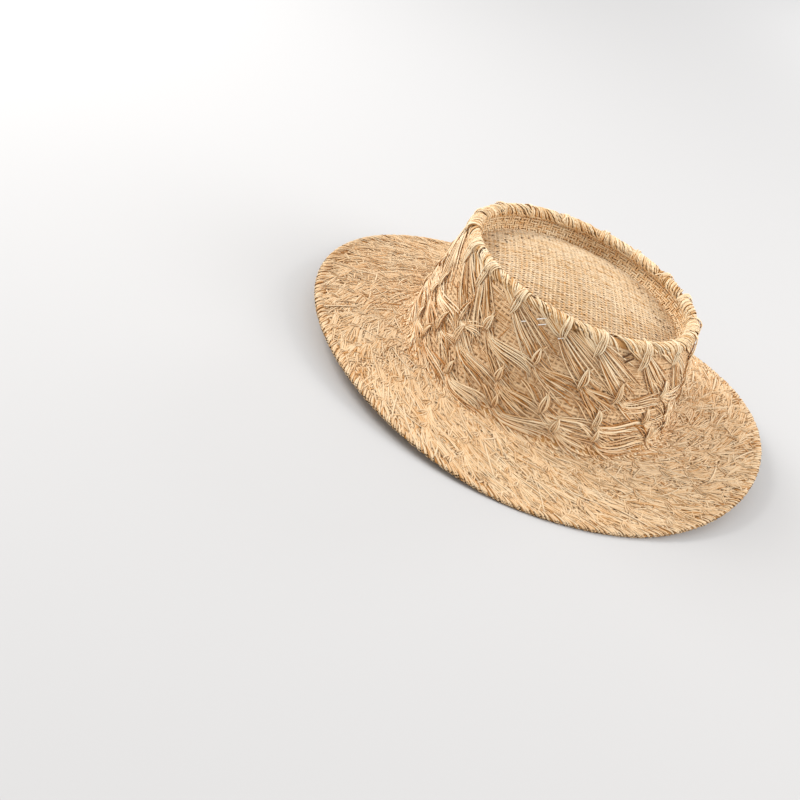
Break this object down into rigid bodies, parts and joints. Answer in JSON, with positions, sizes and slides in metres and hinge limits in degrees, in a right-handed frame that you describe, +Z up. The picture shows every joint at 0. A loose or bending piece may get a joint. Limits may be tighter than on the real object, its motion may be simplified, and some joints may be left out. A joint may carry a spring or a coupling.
{
  "type": "straw boater hat",
  "caption": "Flat-brimmed straw hat with a low tapered crown of knotted tufts, a rope-like rim and a domed tip sunk inside it.",
  "frame": {"origin": "centre of the underside, on the surface that the hat rests on", "axes": "+Z up along the crown's axis, -Y the front, +X the wearer's left as seen from the front"},
  "size_m": [0.324, 0.336, 0.0885],
  "materials": {
    "brim_straw": "flat pressed raffia tufts, pale straw, matt with a faint sheen",
    "edge_straw": "thin turned edge of plaited raffia",
    "wall_straw": "woven raffia under rows of knotted tufts",
    "rim_straw": "twisted bundles of raffia",
    "tip_straw": "fine plain weave of raffia, pale"
  },
  "bodies": {
    "root": {"brim": "brim_straw", "brim_edge": "edge_straw", "crown_wall": "wall_straw", "crown_rim": "rim_straw", "crown_tip": "tip_straw"}
  },
  "joints": []
}
